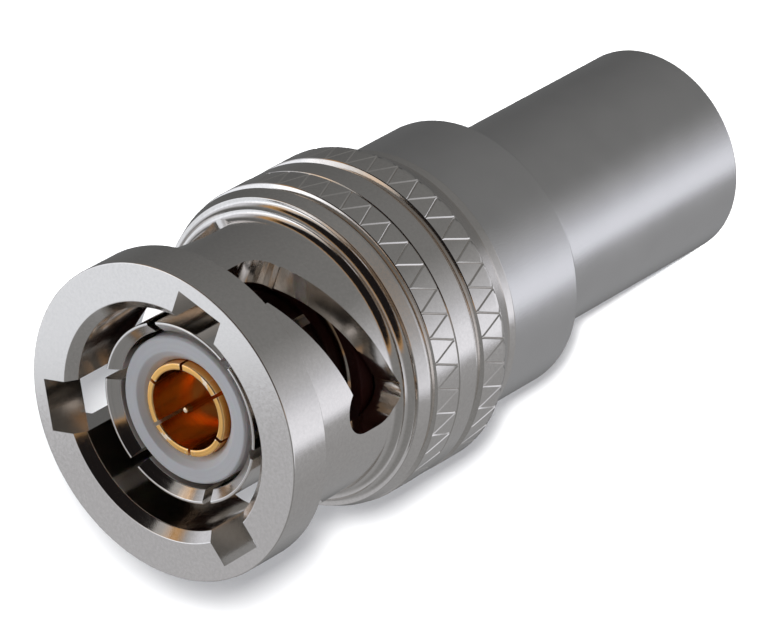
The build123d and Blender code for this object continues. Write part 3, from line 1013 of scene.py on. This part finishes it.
class TRIAX_OT_stage(bpy.types.Operator):
    """Set the camera, the lamps, the floor and the background"""

    bl_idname = "triax.stage"
    bl_label = "Stage"

    # Directions and places by their parts to the side, towards the camera's side and up the axis,
    # the places in millimetres
    camera_azimuth = 298.1
    camera_from_face = (-0.70, 220.06, 198.38)
    picture_right = (-0.4885, 0.6068, -0.6270)
    picture_up = (0.8726, 0.3397, -0.3510)
    key_from_face = (37.0, -55.725, 50.175)
    fill_place = (200.0, -50.0, 250.0)

    # Lamps and floor, in millimetres apart from the tint
    key_width = 70.0
    key_tint = (0.80, 0.885, 1.0)
    fill_width = 200.0
    wash_width = 13.0
    wash_distance = 296.0
    wash_shift = 5.8
    aim_height = 20.0
    floor_radius = 160.0
    floor_fade = (60.0, 120.0)

    # Brightness of the room below and above the horizon, by share of a turn
    below_horizon = (
        (0.00, 0.35), (0.13, 0.33), (0.22, 0.15), (0.40, 0.13), (0.60, 0.20), (0.72, 0.22),
        (0.76, 0.32), (0.82, 0.58), (0.87, 0.95), (0.915, 1.05), (0.94, 0.40), (1.0, 0.35),
    )
    above_horizon = (
        (0.00, 0.24), (0.12, 0.26), (0.18, 0.50), (0.32, 0.54), (0.36, 0.75), (0.42, 0.75),
        (0.46, 0.30), (0.85, 0.25), (1.0, 0.24),
    )
    horizon_blur = (-0.15, 0.15)

    # The unlit part of the room, above the horizon from the side round to the camera, with a warm rim
    unlit_bottom = (0.02, 0.14)
    unlit_start = (0.45, 0.51)
    unlit_end = (0.825, 0.85)
    rim_band = (0.0, 0.35)
    rim_colour = (0.55, 0.31, 0.12)
    core_band = (0.45, 0.9)
    core_colour = (0.012, 0.010, 0.010)

    # Mirrored many times over, inside the plug, the unlit part looks warm instead
    deep_mirroring = (1.6, 3.4)
    deep_colour = (0.78, 0.56, 0.38)

    # The bright panels are a little cooler than the rest
    bright_band = (0.2, 0.7)
    dull_tint = (1.0, 1.02, 1.04)
    bright_tint = (1.0, 1.035, 1.14)

    def vector(self, parts):
        """A vector from its parts to the side, towards the camera's side and up."""
        azimuth = math.radians(self.camera_azimuth)
        to_side, to_camera, up = parts
        near = Vector((math.cos(azimuth), math.sin(azimuth), 0))
        side = Vector((-near.y, near.x, 0))
        return to_side * side + to_camera * near + Vector((0, 0, up))

    def picture_axes(self):
        """Unit vectors to the picture's right, to its top and towards the camera."""
        right = self.vector(self.picture_right).normalized()
        back = right.cross(self.vector(self.picture_up)).normalized()
        return right, back.cross(right), back

    def from_face(self, parts):
        """A place given in millimetres from the middle of the mating face."""
        return Vector((0, 0, MATING_FACE * MM)) + MM * self.vector(parts)

    def camera(self, stage):
        """The camera at the picture's viewing angle."""
        data = bpy.data.cameras.new("camera")
        data.sensor_width = 36
        data.lens = stage.lens
        data.clip_start = 0.01
        data.clip_end = 10
        camera = add_object("camera", data)
        turn = Matrix(self.picture_axes()).transposed().to_4x4()
        camera.matrix_world = Matrix.Translation(self.from_face(self.camera_from_face)) @ turn
        bpy.context.scene.camera = camera

    def lamp(self, name, place, energy, width, tint=(1, 1, 1)):
        """A square area lamp aimed at the plug's middle."""
        data = bpy.data.lights.new(name, "AREA")
        data.energy = energy
        data.size = width * MM
        data.color = tint
        lamp = add_object(name, data)
        aim = Vector((0, 0, self.aim_height * MM)) - place
        turn = aim.to_track_quat("-Z", "Y").to_matrix().to_4x4()
        lamp.matrix_world = Matrix.Translation(place) @ turn
        return lamp

    def brightness_ramp(self, tree, factor, stops):
        """A grey ramp of (place, brightness) stops, which gives its colour socket."""
        node = tree.nodes.new("ShaderNodeValToRGB")
        elements = node.color_ramp.elements
        while len(elements) < len(stops):
            elements.new(0.5)
        for element, (place, value) in zip(elements, stops):
            element.position = place
            element.color = (value, value, value, 1)
        tree.links.new(factor, node.inputs[0])
        return node.outputs["Color"]

    def room(self, tree, paths):
        """The room's colour, by direction."""
        side = self.vector((1, 0, 0))
        turned_place = tree.nodes.new("ShaderNodeVectorRotate")
        turned_place.rotation_type = "Z_AXIS"
        turned_place.inputs["Angle"].default_value = -math.atan2(side.y, side.x)
        direction = tree.nodes.new("ShaderNodeTexCoord").outputs["Generated"]
        tree.links.new(direction, turned_place.inputs["Vector"])
        parts = tree.nodes.new("ShaderNodeSeparateXYZ")
        tree.links.new(turned_place.outputs[0], parts.inputs[0])
        x, y, z = parts.outputs
        azimuth = math_node(tree, "ARCTAN2", math_node(tree, "MULTIPLY", y, -1.0), x)
        share = map_range(tree, azimuth, 0, 1, -math.pi, math.pi)
        below = self.brightness_ramp(tree, share, self.below_horizon)
        above = self.brightness_ramp(tree, share, self.above_horizon)
        mixed = mix_colours(tree, map_range(tree, z, 0, 1, *self.horizon_blur), below, above)

        start = map_range(tree, share, 0, 1, *self.unlit_start)
        end = map_range(tree, share, 1, 0, *self.unlit_end)
        bottom = map_range(tree, z, 0, 1, *self.unlit_bottom)
        unlit = math_node(tree, "MULTIPLY", bottom, math_node(tree, "MULTIPLY", start, end))
        rim = map_range(tree, unlit, 0, 1, *self.rim_band)
        core = map_range(tree, unlit, 0, 1, *self.core_band)
        deep = map_range(tree, paths.outputs["Glossy Depth"], 0, 1, *self.deep_mirroring)
        unlit_colour = mix_colours(tree, deep, self.core_colour, self.deep_colour)
        mixed = mix_colours(tree, rim, mixed, self.rim_colour)
        mixed = mix_colours(tree, core, mixed, unlit_colour)

        bright = map_range(tree, mixed, 0, 1, *self.bright_band)
        tint = mix_colours(tree, bright, self.dull_tint, self.bright_tint)
        return mix_colours(tree, 1, mixed, tint, "MULTIPLY")

    def world(self):
        """White for the camera; a soft studio for reflections and light."""
        world = bpy.data.worlds.new("studio")
        world.use_nodes = True
        bpy.context.scene.world = world
        tree = world.node_tree
        tree.nodes.clear()
        paths = tree.nodes.new("ShaderNodeLightPath")
        seen_directly = paths.outputs["Is Camera Ray"]
        seen_through = paths.outputs["Is Transmission Ray"]
        seen = math_node(tree, "MAXIMUM", seen_directly, seen_through)
        colour = mix_colours(tree, seen, self.room(tree, paths), (1, 1, 1))
        background = tree.nodes.new("ShaderNodeBackground")
        output = tree.nodes.new("ShaderNodeOutputWorld")
        tree.links.new(colour, background.inputs["Color"])
        tree.links.new(background.outputs[0], output.inputs["Surface"])

    def pale_floor(self, colours):
        """Pale matt floor that fades into the background at its rim."""
        camera_lift = 0.03
        material = bpy.data.materials.new("pale_floor")
        material.use_nodes = True
        tree = material.node_tree
        bsdf = tree.nodes["Principled BSDF"]
        bsdf.inputs["Base Color"].default_value = (*colours.floor, 1)
        bsdf.inputs["Roughness"].default_value = 0.9
        bsdf.inputs["Specular IOR Level"].default_value = 0
        bsdf.inputs["Emission Color"].default_value = (1, 1, 1, 1)
        paths = tree.nodes.new("ShaderNodeLightPath")
        lift = math_node(tree, "MULTIPLY", paths.outputs["Is Camera Ray"], camera_lift)
        tree.links.new(lift, bsdf.inputs["Emission Strength"])
        length = tree.nodes.new("ShaderNodeVectorMath")
        length.operation = "LENGTH"
        tree.links.new(object_place(tree), length.inputs[0])
        near, far = self.floor_fade
        fade = map_range(tree, length.outputs["Value"], 0, 1, near * MM, far * MM)
        clear = tree.nodes.new("ShaderNodeBsdfTransparent")
        mix = tree.nodes.new("ShaderNodeMixShader")
        tree.links.new(fade, mix.inputs[0])
        tree.links.new(bsdf.outputs[0], mix.inputs[1])
        tree.links.new(clear.outputs[0], mix.inputs[2])
        tree.links.new(mix.outputs[0], tree.nodes["Material Output"].inputs["Surface"])
        return material

    def floor(self, colours, stage):
        """The floor, and the lamp near the camera that whitens it all but the plug's shadow."""
        bm = bmesh.new()
        bmesh.ops.create_circle(bm, cap_ends=True, segments=96, radius=self.floor_radius * MM)
        mesh = bpy.data.meshes.new("floor")
        bm.to_mesh(mesh)
        bm.free()
        floor = add_object("floor", mesh)
        floor.visible_glossy = False
        mesh.materials.append(self.pale_floor(colours))
        lit = bpy.data.collections.new("lit_by_wash")
        bpy.context.scene.collection.children.link(lit)
        lit.objects.link(floor)
        right, up, back = self.picture_axes()
        middle = Vector((0, 0, MATING_FACE / 2 * MM))
        place = middle + MM * (self.wash_distance * back + self.wash_shift * (up - right))
        wash = self.lamp("wash", place, stage.wash_energy, self.wash_width)
        wash.light_linking.receiver_collection = lit

    def execute(self, context):
        stage = settings().stage
        self.camera(stage)
        self.world()
        self.floor(settings().colours, stage)
        key_place = self.from_face(self.key_from_face)
        self.lamp("key", key_place, stage.key_energy, self.key_width, self.key_tint)
        self.lamp("fill", MM * self.vector(self.fill_place), stage.fill_energy, self.fill_width)
        context.scene.view_settings.view_transform = "Standard"
        return {"FINISHED"}


OPERATORS = (
    TRIAX_OT_coupling_nut,
    TRIAX_OT_contacts,
    TRIAX_OT_insulators,
    TRIAX_OT_rear,
    TRIAX_OT_inner_metal,
    TRIAX_OT_stage,
)


class TRIAX_PT_panel(bpy.types.Panel):
    """Sidebar panel that lists the pieces"""

    bl_idname = "TRIAX_PT_panel"
    bl_label = "Triax plug"
    bl_space_type = "VIEW_3D"
    bl_region_type = "UI"
    bl_category = "Triax plug"

    def draw(self, context):
        for group in ("nut", "contacts", "rear", "colours", "stage"):
            values = getattr(context.scene.triax_plug, group)
            box = self.layout.box()
            box.label(text=group.capitalize())
            for name in values.bl_rna.properties.keys():
                if name not in ("rna_type", "name"):
                    box.prop(values, name)
        for operator in OPERATORS:
            self.layout.operator(operator.bl_idname)


CLASSES = (
    TriaxNutSizes,
    TriaxContactSizes,
    TriaxRearSizes,
    TriaxColours,
    TriaxStage,
    TriaxPlug,
    *OPERATORS,
    TRIAX_PT_panel,
)


def register():
    for cls in CLASSES:
        bpy.utils.register_class(cls)
    bpy.types.Scene.triax_plug = PointerProperty(type=TriaxPlug)


def unregister():
    del bpy.types.Scene.triax_plug
    for cls in reversed(CLASSES):
        bpy.utils.unregister_class(cls)


def main():
    register()
    bpy.ops.triax.coupling_nut()
    bpy.ops.triax.contacts()
    bpy.ops.triax.insulators()
    bpy.ops.triax.rear()
    bpy.ops.triax.inner_metal()
    bpy.ops.triax.stage()


if __name__ == "__main__":
    main()
